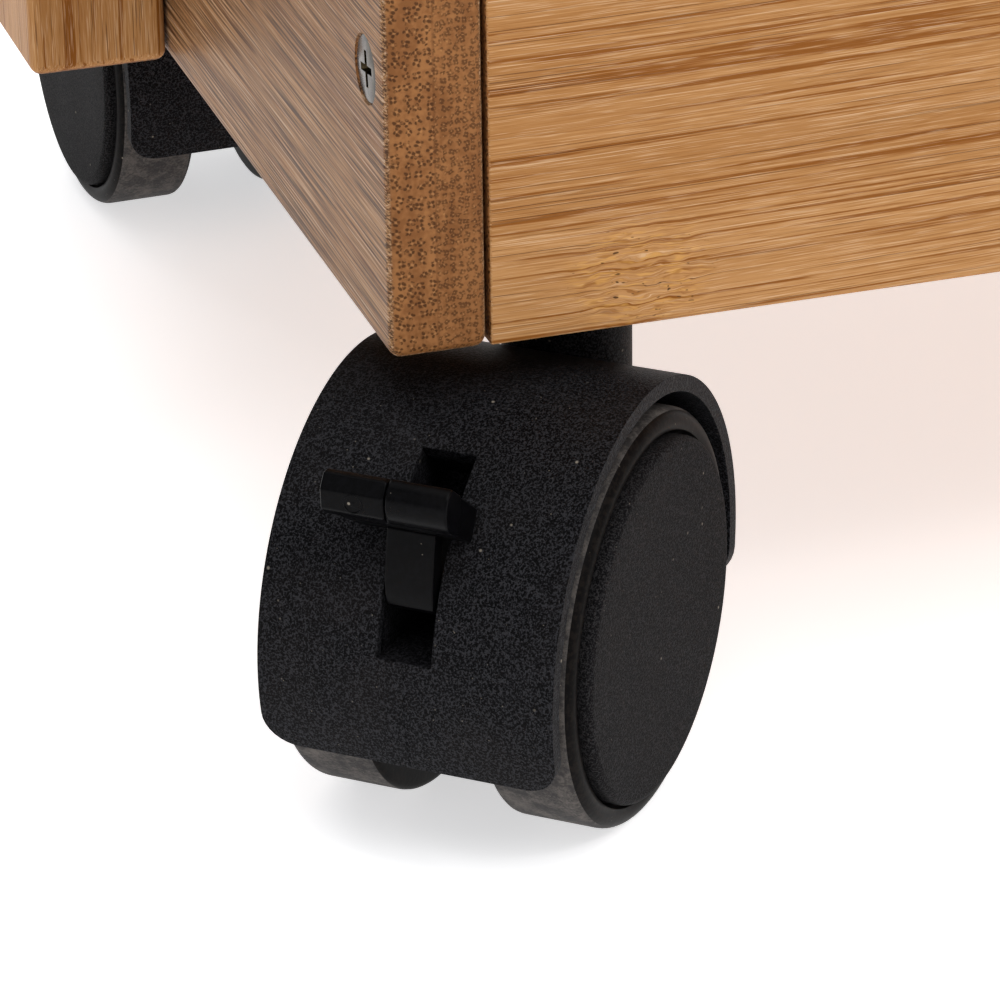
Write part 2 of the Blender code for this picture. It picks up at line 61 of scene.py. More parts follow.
class Signal:
    # a socket's value that takes part in sums
    def __init__(self, finish, socket):
        self.finish = finish
        self.socket = socket

    def combine(self, operation, first, second):
        return self.finish.node("Math", {"operation": operation}, {0: first, 1: second})

    def __add__(self, other):
        return self.combine("ADD", self, other)

    def __radd__(self, other):
        return self.combine("ADD", other, self)

    def __sub__(self, other):
        return self.combine("SUBTRACT", self, other)

    def __rsub__(self, other):
        return self.combine("SUBTRACT", other, self)

    def __mul__(self, other):
        return self.combine("MULTIPLY", self, other)

    def __rmul__(self, other):
        return self.combine("MULTIPLY", other, self)

    def __truediv__(self, other):
        return self.combine("DIVIDE", self, other)

    def __abs__(self):
        return self.finish.node("Math", {"operation": "ABSOLUTE"}, {0: self})


class Finish:
    # a material and the nodes that shape it
    def __init__(self, name):
        self.material = bpy.data.materials.new(name)
        self.material.use_nodes = True
        self.tree = self.material.node_tree
        self.shader = self.tree.nodes["Principled BSDF"]

    def node(self, kind, settings=None, sockets=None, output=0):
        made = self.tree.nodes.new("ShaderNode" + kind)
        for key, value in (settings or {}).items():
            setattr(made, key, value)
        for key, value in (sockets or {}).items():
            self.feed(made.inputs[key], value)
        return Signal(self, made.outputs[output])

    def feed(self, socket, value):
        if isinstance(value, Signal):
            self.tree.links.new(value.socket, socket)
        elif hasattr(socket.default_value, "__len__") and len(value) < len(socket.default_value):
            socket.default_value = (*value, 1.0)
        else:
            socket.default_value = value

    def millimetres(self):
        # the piece's own coordinates, in millimetres
        point = self.node("TexCoord", output="Object")
        axes = [self.node("SeparateXYZ", sockets={0: point}, output=i) for i in range(3)]
        return [axis * 1000.0 for axis in axes]

    def vector(self, x, y, z):
        return self.node("CombineXYZ", sockets={0: x, 1: y, 2: z})

    def noise(self, place, scale=1.0, detail=2.0, roughness=0.5):
        sockets = {"Vector": place, "Scale": scale, "Detail": detail, "Roughness": roughness}
        return self.node("TexNoise", sockets=sockets)

    def cells(self, place, scale=1.0, output="Distance", flat=False, scatter=1.0):
        settings = {"voronoi_dimensions": "2D" if flat else "3D"}
        sockets = {"Vector": place, "Scale": scale, "Randomness": scatter}
        return self.node("TexVoronoi", settings, sockets, output)

    def ramp(self, value, low, high):
        # 0 below low and 1 above high, smooth between, or the other way round if low is over high
        sockets = {"Value": value, "From Min": min(low, high), "From Max": max(low, high)}
        sockets["To Min"] = 0.0 if low < high else 1.0
        sockets["To Max"] = 1.0 if low < high else 0.0
        return self.node("MapRange", {"interpolation_type": "SMOOTHSTEP"}, sockets)

    def mix(self, share, first, second):
        sockets = {"Factor": share, 6: first, 7: second}
        return self.node("Mix", {"data_type": "RGBA"}, sockets, 2)

    def bump(self, height, depth, strength=1.0):
        sockets = {"Height": height, "Distance": depth, "Strength": strength}
        return self.node("Bump", sockets=sockets)

    def done(self, **sockets):
        for key, value in sockets.items():
            self.feed(self.shader.inputs[socketNames[key]], value)
        return self.material


socketNames = {
    "color": "Base Color",
    "roughness": "Roughness",
    "metallic": "Metallic",
    "ior": "IOR",
    "normal": "Normal",
    "glow": "Emission Color",
    "glowStrength": "Emission Strength",
}


def shade(red, green, blue):
    # a colour as seen on a screen, 0 to 255, as light
    light = []
    for part in (red, green, blue):
        part = part / 255
        light.append(part / 12.92 if part <= 0.04045 else ((part + 0.055) / 1.055) ** 2.4)
    return tuple(light)


bamboo = {
    "light": shade(178, 131, 82),
    "middle": shade(158, 110, 62),
    "amber": shade(126, 72, 18),
    "line": shade(86, 49, 24),
    "glint": shade(216, 184, 148),
    "gold": shade(204, 152, 78),
    "pit": shade(66, 40, 18),
    # painted reflection: a grey that stands in for the pale surroundings mirrored at a grazing angle on
    # the end boards
    "paintedSheen": shade(112, 86, 66),
    "endGrain": shade(146, 99, 58),
    "endGrainDark": shade(120, 77, 42),
    "bundle": shade(52, 28, 12),
    "heart": shade(174, 126, 80),
    "worn": shade(54, 33, 20),
    # painted highlight: pale streaks that stand in for the glints of the glossy end-board faces
    "paintedGlintStreak": shade(196, 172, 146),
    "boundary": 5.6,
    "tilt": 0.012,
}

# knuckles of the cane: along the grain, across it, and their half sizes, in millimetres
knuckles = {
    "x": [(-190.0, 66.0, 11.0, 8.5), (62.0, 104.0, 10.0, 9.0), (-70.0, 345.0, 10.0, 9.0)],
    "y": [(40.0, 112.0, 10.0, 8.0), (-52.0, 352.0, 10.0, 8.0)],
    "z": [(262.0, 6.0, 11.0, 9.0), (520.0, -9.0, 11.0, 9.0)],
}


def bambooFinish(name, grain, marks, busy=1.0, strip=None, paintedSheen=0.0, layered=False):
    f = Finish(name)
    x, y, z = f.millimetres()
    along, across, through = {"x": (x, z, y), "y": (y, z, x), "z": (z, y, x)}[grain]
    if strip:
        along, across, through = x, y, z
    knuckle = None
    for alongAt, acrossAt, halfAlong, halfAcross in marks:
        away = abs((along - alongAt) / halfAlong)
        aside = abs((across - acrossAt) / halfAcross)
        here = f.ramp(away * away + aside * aside, 1.0, 0.1)
        knuckle = here if knuckle is None else knuckle + here
    drift = f.noise(f.vector(along / 120, across / 45, through / 45), detail=1.0) - 0.5
    bent = across + drift * 2.4 - along * bamboo["tilt"]
    if knuckle is not None:
        curl = f.noise(f.vector(along / 4.5, across / 1.6, through / 3.0), detail=2.0) - 0.5
        bent = bent + curl * knuckle * 1.9
    if strip:
        lane = f.node("Math", {"operation": "FLOOR"}, {0: across / strip})
        toss = f.node("TexWhiteNoise", {"noise_dimensions": "1D"}, {"W": lane})
        along = along + toss * 900.0
    broad = f.noise(f.vector(along / 200, bent / 9.0, through / 9.0), detail=1.0)
    fine = f.noise(f.vector(along / 70, bent * 3.2, through * 3.2), detail=3.0, roughness=0.7)
    blend = f.ramp(broad * 0.45 + fine * 0.55, 0.38, 0.62)
    color = f.mix(blend, bamboo["middle"], bamboo["light"])
    wide = f.noise(f.vector(along / 90, bent * 1.7 + 40.0, through * 1.7), detail=1.0)
    breaks = f.noise(f.vector(along / 16, bent * 1.5, through * 1.5), detail=1.0)
    amber = f.ramp(wide, 0.575 - 0.02 * busy, 0.625) * f.ramp(breaks, 0.30, 0.48)
    color = f.mix(amber * 0.9, color, bamboo["amber"])
    wisp = f.noise(f.vector(along / 5, bent * 9.0, through * 9.0), detail=1.0)
    color = f.mix(f.ramp(wisp, 0.56, 0.70) * 0.4, color, bamboo["amber"])
    color = f.mix(f.ramp(wisp, 0.44, 0.30) * 0.35, color, bamboo["glint"])
    thin = f.noise(f.vector(along / 45, bent * 5.5 + 9.0, through * 5.5), detail=1.0)
    line = f.ramp(thin, 0.68 - 0.04 * busy, 0.74)
    color = f.mix(line * 0.7, color, bamboo["line"])
    hair = f.noise(f.vector(along / 28, bent * 7.0 + 70.0, through * 7.0), detail=1.0)
    glint = f.ramp(hair, 0.66, 0.74)
    color = f.mix(glint * 0.5, color, bamboo["glint"])
    if knuckle is not None:
        fibre = f.noise(f.vector(along / 2.6, bent * 3.4, through / 2.0), detail=2.0)
        color = f.mix(knuckle * f.ramp(fibre, 0.50, 0.66) * 0.55, color, bamboo["gold"])
        shadow = f.noise(f.vector(along / 3.0 + 7.0, bent * 2.6, through / 2.0), detail=2.0)
        color = f.mix(knuckle * f.ramp(shadow, 0.54, 0.66) * 0.6, color, bamboo["amber"])
        pits = f.noise(f.vector(along / 1.0, across / 0.45, through), detail=1.0)
        color = f.mix(knuckle * f.ramp(pits, 0.70, 0.76) * 0.9, color, bamboo["pit"])
    if strip:
        color = f.mix(toss * 0.28, color, bamboo["amber"])
        edge = abs(f.node("Math", {"operation": "PINGPONG"}, {0: across, 1: strip / 2}))
        color = f.mix(f.ramp(edge, 0.22, 0.06) * 0.55, color, bamboo["line"])
    if paintedSheen:
        # painted reflection: the end boards' colour is greyed to stand in for the sheen of the pale
        # surroundings at a grazing angle
        color = f.mix(paintedSheen, color, bamboo["paintedSheen"])
        # this noise lays both the dark streaks and the painted highlight streaks
        worn = f.noise(f.vector(along / 34, bent * 4.2 + 20.0, through * 4.2), detail=2.0, roughness=0.7)
        color = f.mix(f.ramp(worn, 0.48, 0.58) * 0.85, color, bamboo["worn"])
        # painted highlight: pale glint streaks on the end boards' faces
        color = f.mix(f.ramp(worn, 0.42, 0.34) * 0.6, color, bamboo["paintedGlintStreak"])
    relief = fine * 0.5 - line - amber * 0.4
    facing = f.node("TexCoord", output="Normal")
    axis = {"x": 0, "y": 1, "z": 2}[grain]
    ends = abs(f.node("SeparateXYZ", sockets={0: facing}, output=axis))
    cut = f.ramp(ends, 0.6, 0.8)
    inward = 220.0 - abs(through) if layered else None
    endColor, endRelief = endGrain(f, across, through, inward)
    color = f.mix(cut, color, endColor)
    height = relief * (1.0 - cut) + endRelief * cut
    roughness = 0.36 + fine * 0.16 + cut * 0.1
    return f.done(
        color=color, roughness=roughness, normal=f.bump(height, 0.00005, 0.7), ior=1.18,
    )


def rosettes(f, across, through, size, reach, poreHalf, shift):
    # fibre bundles cut across: four dark pores round a pale heart
    jitter = f.noise(f.vector(across * 1.1, through * 1.1, shift), detail=1.0) - 0.5
    grid = f.vector((through + jitter * 0.7) / size + shift, (across - jitter * 0.5) / size, 0.0)
    heart = f.cells(grid, output="Position", flat=True, scatter=0.45)
    offset = f.node("VectorMath", {"operation": "SUBTRACT"}, {0: grid, 1: heart})
    turn = f.node("TexWhiteNoise", {"noise_dimensions": "2D"}, {"Vector": heart})
    spin = f.node("VectorRotate", {"rotation_type": "Z_AXIS"}, {"Vector": offset, "Angle": turn * 6.0})
    u = f.node("SeparateXYZ", sockets={0: spin}, output=0)
    v = f.node("SeparateXYZ", sockets={0: spin}, output=1)
    du = abs(u) - reach
    dv = abs(v) - reach
    squash = turn * 0.8 + 0.7
    pore = f.ramp(du * du * squash + dv * dv, poreHalf * poreHalf * 2.0, poreHalf * poreHalf * 0.35)
    centre = f.ramp(u * u + v * v, reach * reach * 0.9, 0.0)
    fade = f.noise(f.vector(across * 1.6, through * 1.6, shift + 3.0), detail=2.0)
    return pore * f.ramp(fade, 0.30, 0.55), centre


def endGrain(f, across, through, inward):
    sway = f.noise(f.vector(across / 9, through / 4, 0.0), detail=2.0)
    mottle = f.noise(f.vector(across * 1.3, through * 1.3, 0.0), detail=2.0)
    base = f.mix(f.ramp(sway * 0.6 + mottle * 0.4, 0.38, 0.62), bamboo["endGrainDark"], bamboo["endGrain"])
    pore, centre = rosettes(f, across, through, 1.32, 0.19, 0.15, 0.0)
    if inward:
        closePore, closeCentre = rosettes(f, across, through, 0.86, 0.18, 0.19, 7.3)
        dense = f.ramp(inward, bamboo["boundary"] - 0.25, bamboo["boundary"] + 0.25)
        pore = pore * (1.0 - dense) + closePore * dense * 0.8
        centre = centre * (1.0 - dense) + closeCentre * dense
        base = f.mix(f.ramp(inward, 6.0, 12.0) * 0.35, base, bamboo["endGrainDark"])
        glueLine = f.ramp(abs(inward - bamboo["boundary"]), 0.22, 0.05)
        base = f.mix(glueLine * 0.3, base, bamboo["line"])
    color = f.mix(centre * 0.45, base, bamboo["heart"])
    color = f.mix(pore * 0.8, color, bamboo["bundle"])
    return color, sway * 0.3 - pore * 1.2


# each plastic's lighter grain colour is partly the real grain and partly painted highlight specks off the
# grain
moulded = {
    "hood": shade(4, 4, 5),
    "hoodLight": shade(44, 44, 47),
    "wheel": shade(11, 11, 12),
    "wheelLight": shade(44, 43, 44),
    "lever": shade(3, 3, 4),
    "leverLight": shade(6, 6, 8),
    "ring": shade(10, 9, 9),
    "ringLight": shade(22, 19, 17),
    "dust": shade(140, 132, 120),
    "haze": shade(40, 36, 34),
}


def dustSpecks(f, x, y, z, size, share):
    # small specks, each a different size, over a share of the cells
    place = f.vector(x / size, y / size, z / size)
    away = f.cells(place)
    chance = f.node("SeparateColor", sockets={0: f.cells(place, output="Color")}, output=0)
    return f.ramp(away, 0.085, 0.03) * f.ramp(chance, 1.0 - share, 1.0 - share * 0.6)


def mouldedFinish(name, tone, grainSize, grainDepth, roughness, dusty, ior):
    f = Finish(name)
    x, y, z = f.millimetres()
    swirl = f.noise(f.vector(x, y, z), scale=0.9 / grainSize, detail=1.0) - 0.5
    pebble = f.cells(f.vector(x + swirl * 0.4, y + swirl * 0.3, z), scale=1 / grainSize)
    wave = f.noise(f.vector(x, y, z), scale=1.9 / grainSize, detail=2.0, roughness=0.7)
    patch = f.noise(f.vector(x, y, z), scale=0.09, detail=3.0)
    specks = dustSpecks(f, x, y, z, 1.3, dusty)
    crumbs = dustSpecks(f, x + 31.0, y, z, 3.0, dusty * 0.8)
    lint = dustSpecks(f, x * 0.35 + y * 0.2, y * 2.0, z * 2.4 + x * 0.5, 1.9, dusty * 0.5)
    crumbs = crumbs + lint * 0.6
    film = f.ramp(patch, 0.45, 0.75) * dusty * 0.35
    grain = f.ramp(wave * 0.75 + pebble * 0.25, 0.46, 0.60)
    # partly real grain, partly painted highlight specks in the lighter grain colour
    color = f.mix(grain, moulded[tone], moulded[tone + "Light"])
    color = f.mix(film, color, moulded["haze"])
    color = f.mix(specks * 0.5 + crumbs * 0.8, color, moulded["dust"])
    rough = roughness + wave * 0.14 + patch * 0.08 + specks * 0.2
    height = pebble * 0.8 + wave * 1.2 + specks * 0.5
    return f.done(color=color, roughness=rough, normal=f.bump(height, grainDepth), ior=ior)


tread = {"clean": shade(40, 38, 38), "dusty": shade(88, 83, 79), "grit": shade(160, 150, 138)}


def treadFinish(name):
    f = Finish(name)
    x, y, z = f.millimetres()
    grime = f.noise(f.vector(x, y, z), scale=0.35, detail=5.0, roughness=0.7)
    scuff = f.noise(f.vector(x, y, z), scale=2.6, detail=4.0, roughness=0.7)
    specks = dustSpecks(f, x, y, z, 0.9, 0.5)
    color = f.mix(f.ramp(grime * 0.6 + scuff * 0.4, 0.4, 0.66), tread["clean"], tread["dusty"])
    color = f.mix(specks * 0.6, color, tread["grit"])
    height = scuff * 0.8 + specks
    return f.done(color=color, roughness=0.62 + grime * 0.25, normal=f.bump(height, 0.00003), ior=1.3)


metal = {
    # painted reflection: the screws' nickel is darkened to stand in for the dark surroundings it mirrors,
    # and its dull blotches darker still
    "nickelPaintedDark": shade(58, 50, 35),
    "nickelShadow": shade(18, 13, 8),
    "zinc": shade(188, 187, 184),
    "zincDull": shade(128, 127, 126),
}


def metalFinish(name, bright, dull, roughness):
    f = Finish(name)
    x, y, z = f.millimetres()
    blot = f.noise(f.vector(x, y, z), scale=0.7, detail=3.0)
    brushed = f.noise(f.vector(x * 0.4, y * 6.0, z * 6.0), detail=2.0)
    color = f.mix(f.ramp(blot * 0.7 + brushed * 0.3, 0.35, 0.7), bright, dull)
    return f.done(
        color=color, metallic=1.0, roughness=roughness + blot * 0.15,
        normal=f.bump(brushed + blot, 0.000006),
    )


finishes = {
    "bambooX": bambooFinish("bambooAlong", "x", knuckles["x"]),
    "bambooY": bambooFinish("bambooAcross", "y", knuckles["y"], busy=2.2, paintedSheen=0.4, layered=True),
    "bambooZ": bambooFinish("bambooUpright", "z", knuckles["z"], busy=0.6),
    "bambooFloor": bambooFinish("bambooStrips", "x", [], strip=19.0),
    "hood": mouldedFinish("hoodPlastic", "hood", 0.36, 0.00005, 0.38, 0.40, 1.12),
    "wheel": mouldedFinish("wheelPlastic", "wheel", 0.30, 0.00004, 0.45, 0.30, 1.07),
    "lever": mouldedFinish("leverPlastic", "lever", 1.2, 0.000006, 0.2, 0.2, 1.14),
    "ring": mouldedFinish("ringPlastic", "ring", 0.9, 0.000008, 0.3, 0.5, 1.10),
    "tread": treadFinish("treadRubber"),
    "nickelPaintedDark": metalFinish("screwNickelPaintedDark", metal["nickelPaintedDark"], metal["nickelShadow"], 0.16),
    "zinc": metalFinish("stemZinc", metal["zinc"], metal["zincDull"], 0.3),
}
print("finishes made")


def addPiece(name, bm, finish, body, replaced=(), sharpness=40.0, weighted=False, second=None):
    bmesh.ops.remove_doubles(bm, verts=bm.verts, dist=0.002 * mm)
    bmesh.ops.recalc_face_normals(bm, faces=bm.faces)
    mesh = bpy.data.meshes.new(name)
    bm.to_mesh(mesh)
    bm.free()
    mesh.shade_smooth()
    mesh.set_sharp_from_angle(angle=math.radians(sharpness))
    mesh.materials.append(finishes[finish])
    if second:
        mesh.materials.append(finishes[second])
    piece = bpy.data.objects.new(name, mesh)
    bpy.context.scene.collection.objects.link(piece)
    if weighted:
        even = piece.modifiers.new("evenShading", "WEIGHTED_NORMAL")
        even.keep_sharp = True
    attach(piece, body)
    if replaced:
        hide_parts(*replaced)
    return piece


def joinInto(bm, part):
    # adds one mesh in the making to another
    scrap = bpy.data.meshes.new("scrap")
    part.to_mesh(scrap)
    part.free()
    bm.from_mesh(scrap)
    bpy.data.meshes.remove(scrap)


def blockFrom(low, high):
    bm = bmesh.new()
    size = high - low
    place = Matrix.Translation((low + high) / 2) @ Matrix.Diagonal((*size, 1.0))
    bmesh.ops.create_cube(bm, size=1.0, matrix=place)
    return bm


def roundEdges(bm, edges, width, segments):
    bmesh.ops.bevel(
        bm, geom=list(edges), offset=width, offset_type="OFFSET", segments=segments, profile=0.5,
        affect="EDGES", clamp_overlap=True, material=-1,
    )


def only(geom, kind):
    # the vertices, or the edges, of what an operator made
    return [item for item in geom if isinstance(item, kind)]


def sharpEdges(bm, angle=40.0):
    limit = math.radians(angle)
    return [e for e in bm.edges if len(e.link_faces) == 2 and e.calc_face_angle(0.0) > limit]


def faceAt(bm, point, out):
    # the flat face, facing one way, that a point lies on
    for face in bm.faces:
        if face.normal.dot(out) > 0.999 and abs((face.verts[0].co - point).dot(out)) < 0.02 * mm:
            if bmesh.geometry.intersect_face_point(face, point):
                return face
    raise ValueError(f"no face at {tuple(point)}")


def splitFace(bm, point, out, planes):
    # cuts the face at a point along planes, and gives the part that still holds the point
    for planePoint, planeNormal in planes:
        face = faceAt(bm, point, out)
        bmesh.ops.bisect_plane(
            bm, geom=[face, *face.edges, *face.verts], plane_co=planePoint, plane_no=planeNormal,
        )
        bm.normal_update()
    return faceAt(bm, point, out)


def pushFace(bm, face, move, scale=1.0):
    # extrudes a face and gives the new one
    made = bmesh.ops.extrude_discrete_faces(bm, faces=[face])["faces"][0]
    centre = made.calc_center_median()
    for vert in made.verts:
        vert.co = centre + (vert.co - centre) * scale + move
    bm.normal_update()
    return made


def sideways(out):
    # two directions square to one that lies along an axis
    first = Vector((0, 0, 1)) if abs(out.z) < 0.5 else Vector((0, 1, 0))
    return first, out.cross(first)


screw = {
    "headRadius": 4.0 * mm,
    "headDepth": 2.4 * mm,
    "shankRadius": 2.0 * mm,
    "shank": 8.0 * mm,
    "armReach": 2.15 * mm,
    "armHalf": 0.46 * mm,
    "recessDepth": 1.5 * mm,
    "sunk": 0.12 * mm,
    "room": 0.14 * mm,
    "patchHalf": 6.8 * mm,
    "lip": 0.25 * mm,
    "lipTaper": 0.985,
    "collar": 0.5 * mm,
    "dome": [(0.35 * mm, 0.02 * mm), (0.08 * mm, 0.12 * mm)],  # inward, depth
    "edge": 0.4 * mm,
    "tip": 0.4 * mm,
    "lie": 8.0,
}


def drillHole(bm, point, out):
    # a countersunk hole for a screw
    first, second = sideways(out)
    half = screw["patchHalf"]
    planes = [(point + d * half * s, d) for d in (first, second) for s in (-1, 1)]
    patch = splitFace(bm, point, out, planes)
    bmesh.ops.subdivide_edges(bm, edges=list(patch.edges), cuts=7)
    bm.normal_update()
    patch = faceAt(bm, point, out)
    bmesh.ops.inset_individual(bm, faces=[patch], thickness=screw["collar"])
    inner = faceAt(bm, point, out)
    radius = screw["headRadius"] + screw["room"]
    for vert in inner.verts:
        spoke = vert.co - point
        vert.co = point + spoke.normalized() * radius
    bm.normal_update()
    lip = pushFace(bm, inner, -out * screw["lip"], screw["lipTaper"])
    cone = pushFace(bm, lip, -out * screw["headDepth"], (screw["shankRadius"] + screw["room"]) / radius)
    pushFace(bm, cone, -out * screw["shank"])


def addScrew(name, head, out, body, replaced=()):
    # a countersunk screw with a cross recess, modelled facing up and turned to face out
    bm = bmesh.new()
    reach, half = screw["armReach"], screw["armHalf"]
    arm = [(reach, -half), (reach, half), (half, half)]
    outline = []
    for quarter in range(4):
        turn = Matrix.Rotation(quarter * math.pi / 2, 2)
        outline += [turn @ Vector(point) for point in arm]
    cross = bm.faces.new([bm.verts.new((p.x, p.y, 0.0)) for p in outline])
    bmesh.ops.subdivide_edges(bm, edges=list(cross.edges), cuts=2)
    bm.faces.ensure_lookup_table()
    cross = bm.faces[0]
    rim = list(cross.edges)
    headRadius, shankRadius, edge = screw["headRadius"], screw["shankRadius"], screw["edge"]
    rings = [(headRadius - inward, -depth) for inward, depth in screw["dome"]]
    rings += [
        (headRadius, -edge),
        (shankRadius, -edge - screw["headDepth"]),
        (shankRadius, -edge - screw["shank"]),
        (screw["tip"], -screw["headDepth"] - screw["shank"]),
    ]
    for radius, height in rings:
        rim = only(bmesh.ops.extrude_edge_only(bm, edges=rim)["geom"], bmesh.types.BMEdge)
        for vert in {v for e in rim for v in e.verts}:
            spoke = Vector((vert.co.x, vert.co.y, 0)).normalized()
            vert.co = spoke * radius + Vector((0, 0, height))
    bmesh.ops.holes_fill(bm, edges=rim, sides=0)
    bm.normal_update()
    pushFace(bm, cross, Vector((0, 0, -screw["recessDepth"])), 0.5)
    turn = Vector((0, 0, 1)).rotation_difference(out).to_matrix().to_4x4()
    lie = Matrix.Rotation(math.radians(screw["lie"]), 4, "Z")
    place = Matrix.Translation(head - out * screw["sunk"]) @ turn @ lie
    bmesh.ops.transform(bm, matrix=place, verts=bm.verts)
    addPiece(name, bm, "nickelPaintedDark", body, replaced, sharpness=30.0)


trays = ("lower", "middle", "upper")
board = {
    "endRounding": 1.5 * mm,
    "longRounding": 0.4 * mm,
    "grooveDepth": 4.3 * mm,
    "grooveRoom": 0.2 * mm,
    "floorEdge": 4.0 * mm,
    "screwInset": 7.75 * mm,
    "innerScrewSpread": 24.0 * mm,
    "innerScrewLift": 4.0 * mm,
    "lowerScrewLift": 10.0 * mm,
    "floorRounding": 0.2 * mm,
}
across = Vector((0, 1, 0))
up = Vector((0, 0, 1))


def middle(node):
    low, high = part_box(node)
    return (low + high) / 2


def cutGroove(bm, faceMiddle, out, floorLow, planes):
    # the groove in a board's inner face that the thin edge of the tray's floor sits in
    room = board["grooveRoom"]
    high = floorLow + board["floorEdge"]
    point = Vector((faceMiddle.x, faceMiddle.y, (floorLow + high) / 2))
    levels = [(Vector((0, 0, floorLow - room)), up), (Vector((0, 0, high + room)), up)]
    face = splitFace(bm, point, out, levels + planes)
    pushFace(bm, face, -out * board["grooveDepth"])


def addEndBoard(tray, side, sign):
    node = f"{tray}_tray_{side}_board"
    low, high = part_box(node)
    bm = blockFrom(low, high)
    roundEdges(bm, bm.edges, board["endRounding"], 5)
    bm.normal_update()
    floorLow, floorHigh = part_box(f"{tray}_tray_floor")
    inner = Vector((-sign, 0, 0))
    innerX = low.x if sign > 0 else high.x
    outerX = high.x if sign > 0 else low.x
    ends = [(Vector((0, s * (floorHigh.y + board["grooveRoom"]), 0)), across) for s in (-1, 1)]
    cutGroove(bm, Vector((innerX, 0, 0)), inner, floorLow.z, ends)
    centre = (low + high) / 2
    for end, endSign in (("front", -1), ("back", 1)):
        head = Vector((outerX, endSign * (high.y - board["screwInset"]), centre.z))
        screwNodes = []
        if tray == "lower":
            screwNodes = [f"corner_screw_{end}_{side}"]
            head.yz = middle(screwNodes[0]).yz
        drillHole(bm, head, -inner)
        addScrew(f"{tray}CornerScrew.{end}.{side}", head, -inner, "frame", screwNodes)
        lift = board["lowerScrewLift"] if tray == "lower" else board["innerScrewLift"]
        head = Vector((innerX, endSign * board["innerScrewSpread"] / 2, centre.z + lift))
        drillHole(bm, head, inner)
        addScrew(f"{tray}UprightScrew.{end}.{side}", head, inner, "frame")
    addPiece(f"{tray}EndBoard.{side}", bm, "bambooY", "frame", [node], 32.0, True)


def addLongBoard(tray, side, sign):
    node = f"{tray}_tray_{side}_board"
    low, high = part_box(node)
    bm = blockFrom(low, high)
    roundEdges(bm, bm.edges, board["longRounding"], 3)
    bm.normal_update()
    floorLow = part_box(f"{tray}_tray_floor")[0]
    inner = Vector((0, -sign, 0))
    innerY = low.y if sign > 0 else high.y
    cutGroove(bm, Vector((0, innerY, 0)), inner, floorLow.z, [])
    addPiece(f"{tray}LongBoard.{side}", bm, "bambooX", "frame", [node], 32.0, True)


def addTrayFloor(tray):
    node = f"{tray}_tray_floor"
    low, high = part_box(node)
    thickness = high.z - low.z
    bm = blockFrom(low, Vector((high.x, high.y, low.z + board["floorEdge"])))
    bm.normal_update()
    top = max(bm.faces, key=lambda face: face.calc_center_median().z)
    bmesh.ops.inset_individual(bm, faces=[top], thickness=board["grooveDepth"], use_even_offset=True)
    pushFace(bm, top, Vector((0, 0, thickness - board["floorEdge"])))
    roundEdges(bm, sharpEdges(bm), board["floorRounding"], 2)
    addPiece(f"{tray}Floor", bm, "bambooFloor", "frame", [node], 32.0, True)


for tray in trays:
    for side, sign in (("left", -1), ("right", 1)):
        addEndBoard(tray, side, sign)
    for side, sign in (("front", -1), ("back", 1)):
        addLongBoard(tray, side, sign)
    addTrayFloor(tray)
print("trays made")


upright = {
    "topRadius": 16.0 * mm,
    "rounding": 1.5 * mm,
    "handleRounding": 0.4 * mm,
    "railRounding": 0.8 * mm,
}


def addUpright(side, sign):
    node = f"{side}_upright"
    low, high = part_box(node)
    bm = bmesh.new()
    corners = [(low.y, low.z), (high.y, low.z), (high.y, high.z), (low.y, high.z)]
    bm.faces.new([bm.verts.new((low.x, y, z)) for y, z in corners])
    tops = [v for v in bm.verts if v.co.z > (low.z + high.z) / 2]
    bmesh.ops.bevel(
        bm, geom=tops, offset=upright["topRadius"], offset_type="OFFSET", segments=14, profile=0.5,
        affect="VERTICES", material=-1,
    )
    grown = bmesh.ops.extrude_face_region(bm, geom=list(bm.faces), use_keep_orig=True)["geom"]
    bmesh.ops.translate(bm, vec=(high.x - low.x, 0, 0), verts=only(grown, bmesh.types.BMVert))
    bmesh.ops.recalc_face_normals(bm, faces=bm.faces)
    roundEdges(bm, sharpEdges(bm), upright["rounding"], 5)
    bm.normal_update()
    out = Vector((sign, 0, 0))
    head = Vector((high.x if sign > 0 else low.x, 0, middle("handle_bar").z))
    drillHole(bm, head, out)
    addScrew(f"handleScrew.{side}", head, out, "frame", [f"handle_screw_{side}"])
    addPiece(f"upright.{side}", bm, "bambooZ", "frame", [node], 32.0, True)


def addHandle():
    low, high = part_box("handle_bar")
    bm = bmesh.new()
    turn = Matrix.Rotation(math.pi / 2, 4, "Y")
    bmesh.ops.create_cone(
        bm, cap_ends=True, segments=72, radius1=(high.z - low.z) / 2, radius2=(high.z - low.z) / 2,
        depth=high.x - low.x, matrix=Matrix.Translation((low + high) / 2) @ turn,
    )
    roundEdges(bm, sharpEdges(bm), upright["handleRounding"], 2)
    addPiece("handle", bm, "bambooX", "frame", ["handle_bar"], 32.0, True)


def addRail(side):
    low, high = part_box(f"{side}_caster_rail")
    bm = blockFrom(low, high)
    roundEdges(bm, bm.edges, upright["railRounding"], 3)
    addPiece(f"rail.{side}", bm, "bambooX", "frame", [f"{side}_caster_rail"], 32.0, True)


addUpright("left", -1)
addUpright("right", 1)
addHandle()
addRail("front")
addRail("back")
print("uprights, handle and rails made")

# made with the axle's middle as the origin, +X the way the hood faces and +Y along the axle

